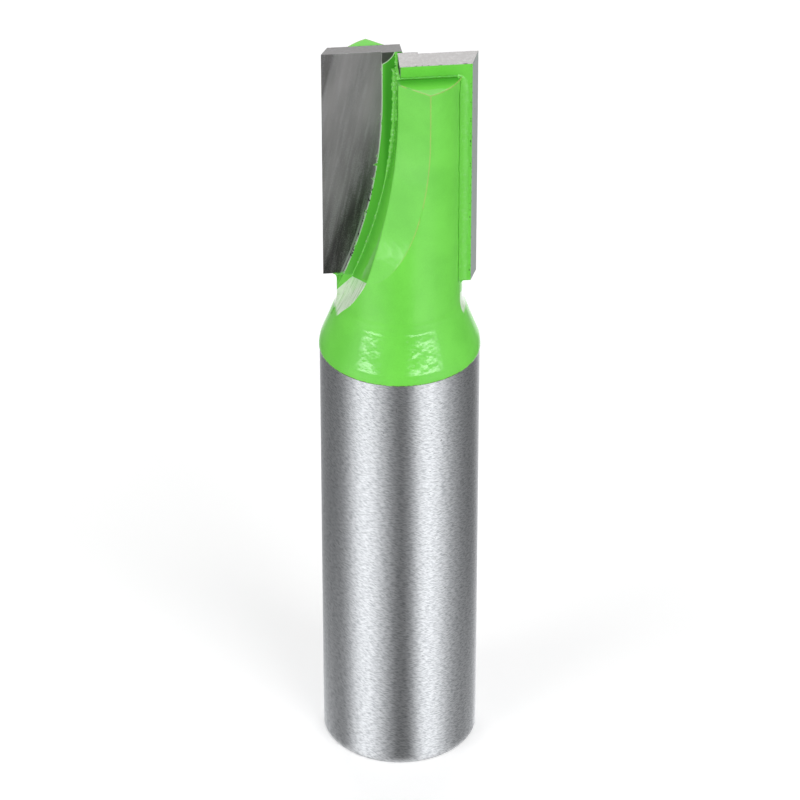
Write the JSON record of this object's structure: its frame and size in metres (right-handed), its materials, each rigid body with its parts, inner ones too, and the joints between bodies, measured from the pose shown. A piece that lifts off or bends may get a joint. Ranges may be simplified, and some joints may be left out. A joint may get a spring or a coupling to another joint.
{
  "type": "router bit",
  "caption": "Straight router bit with a round shank, a flared neck and brazed carbide cutting tips, for cutting grooves and edges in wood.",
  "frame": {"origin": "centre of the shank's flat end face, on the bit's axis", "axes": "+Z along the axis from the shank's end to the cutting end; the cutting edges lie on -X and +X, and the rake face on the -X side faces -Y"},
  "size_m": [0.0128, 0.0128, 0.0635],
  "materials": {
    "painted_steel": "gloss green paint above the bare ground shank",
    "carbide": "ground tungsten carbide",
    "braze": "silver solder under paint"
  },
  "bodies": {
    "root": {"body": "painted_steel", "carbide_tip_1": "carbide", "carbide_tip_2": "carbide", "braze_1": "braze", "braze_2": "braze"}
  },
  "joints": []
}
